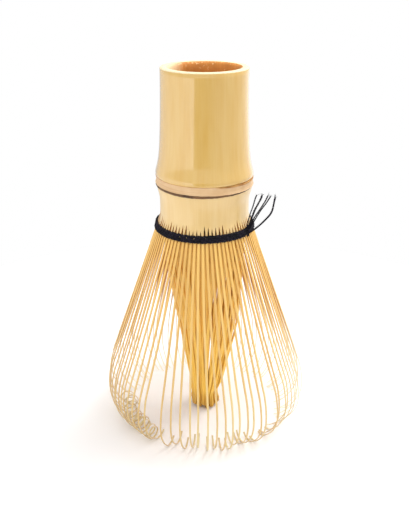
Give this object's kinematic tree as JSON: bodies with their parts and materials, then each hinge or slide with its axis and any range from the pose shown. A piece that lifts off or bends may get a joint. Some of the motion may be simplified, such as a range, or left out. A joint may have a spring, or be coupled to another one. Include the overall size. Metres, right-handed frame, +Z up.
{
  "type": "bamboo tea whisk",
  "caption": "Whisk for powdered tea: a hollow bamboo handle whose lower end is split into a bell of fine curled tines around a core of inner tines, held apart by a black thread.",
  "frame": {"origin": "on the whisk's axis, at the level of the surface that the curled tines stand on", "axes": "+Z up along the axis towards the cut end of the handle, -Y towards the front, +X to the right, on the side of the thread's knot"},
  "size_m": [0.0624, 0.0624, 0.11],
  "materials": {
    "bamboo_skin": "glossy natural bamboo skin, golden tan",
    "bamboo_flesh": "matt bamboo flesh, orange brown",
    "bamboo_outer_tines": "shaved bamboo, pale gold with brown shading and pale tips",
    "bamboo_inner_tines": "shaved bamboo, amber",
    "black_thread": "twisted cotton thread, near black"
  },
  "bodies": {
    "root": {"handle_tube": "bamboo_skin", "node_ridge": "bamboo_skin", "septum": "bamboo_flesh", "collar": "bamboo_skin", "outer_tines_01": "bamboo_outer_tines", "outer_tines_02": "bamboo_outer_tines", "outer_tines_03": "bamboo_outer_tines", "outer_tines_04": "bamboo_outer_tines", "outer_tines_05": "bamboo_outer_tines", "outer_tines_06": "bamboo_outer_tines", "outer_tines_07": "bamboo_outer_tines", "outer_tines_08": "bamboo_outer_tines", "outer_tines_09": "bamboo_outer_tines", "outer_tines_10": "bamboo_outer_tines", "outer_tines_11": "bamboo_outer_tines", "outer_tines_12": "bamboo_outer_tines", "outer_tines_13": "bamboo_outer_tines", "outer_tines_14": "bamboo_outer_tines", "outer_tines_15": "bamboo_outer_tines", "outer_tines_16": "bamboo_outer_tines", "inner_tines_01": "bamboo_inner_tines", "inner_tines_02": "bamboo_inner_tines", "inner_tines_03": "bamboo_inner_tines", "inner_tines_04": "bamboo_inner_tines", "inner_tines_05": "bamboo_inner_tines", "inner_tines_06": "bamboo_inner_tines", "inner_tines_07": "bamboo_inner_tines", "inner_tines_08": "bamboo_inner_tines", "inner_tines_09": "bamboo_inner_tines", "inner_tines_10": "bamboo_inner_tines", "inner_tines_11": "bamboo_inner_tines", "inner_tines_12": "bamboo_inner_tines", "inner_tines_13": "bamboo_inner_tines", "inner_tines_14": "bamboo_inner_tines", "inner_tines_15": "bamboo_inner_tines", "inner_tines_16": "bamboo_inner_tines", "thread_row_upper": "black_thread", "thread_row_middle": "black_thread", "thread_row_lower": "black_thread", "thread_inner_pass": "black_thread", "thread_knot": "black_thread", "thread_end_1": "black_thread", "thread_end_2": "black_thread", "thread_end_3": "black_thread", "thread_end_4": "black_thread", "thread_end_5": "black_thread"}
  },
  "joints": []
}
